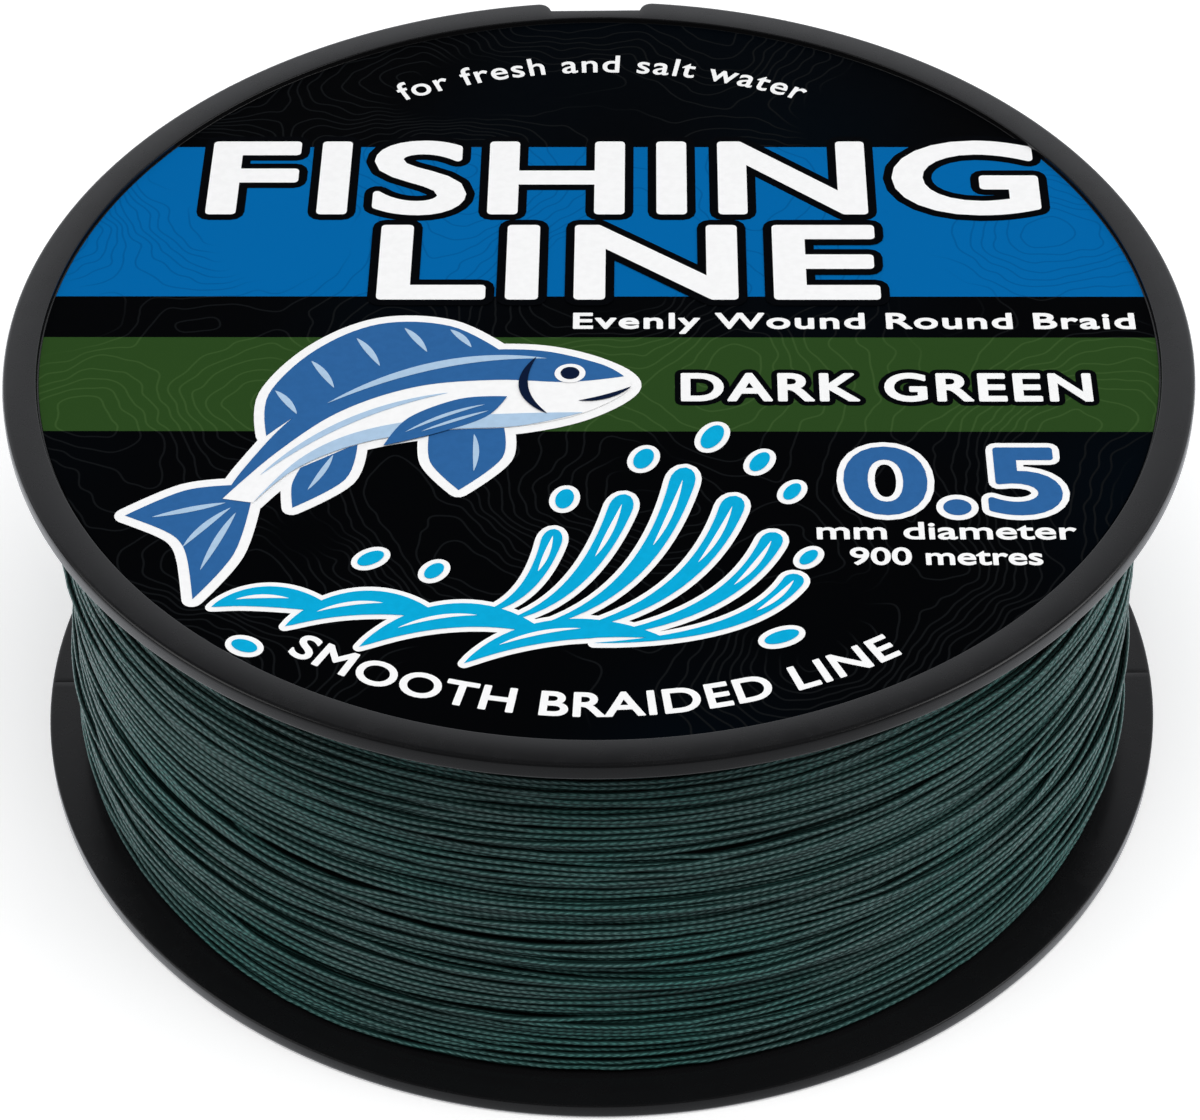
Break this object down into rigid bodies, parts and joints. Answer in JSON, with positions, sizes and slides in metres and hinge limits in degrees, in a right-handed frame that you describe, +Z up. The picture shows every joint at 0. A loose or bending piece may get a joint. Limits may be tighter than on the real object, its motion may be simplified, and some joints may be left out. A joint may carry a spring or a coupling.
{
  "type": "fishing line spool",
  "caption": "Bulk spool of dark green braided fishing line: black moulded spool with thin flanges, line notch, printed round label and a full even winding.",
  "frame": {"origin": "on the spool's axis, at the plane that the lower flange's lip stands on", "axes": "+Z up along the spool's axis to the labelled flange, +Y towards the line notch in the upper flange, +X to the right of the label's print"},
  "size_m": [0.11, 0.11, 0.0454],
  "materials": {
    "black_plastic": "satin moulded black",
    "printed_film": "laminated print, black with blue and green bands",
    "back_film": "laminated dark grey print",
    "moss_braid": "dark green coated braid",
    "clear_tape": "translucent adhesive tape"
  },
  "bodies": {
    "root": {"spool_body": "black_plastic", "face_label": "printed_film", "back_label": "back_film", "line_inner_layers": "moss_braid", "line_outer_layer": "moss_braid", "line_end": "moss_braid", "anchor_tape": "clear_tape", "end_tape": "clear_tape"}
  },
  "joints": []
}
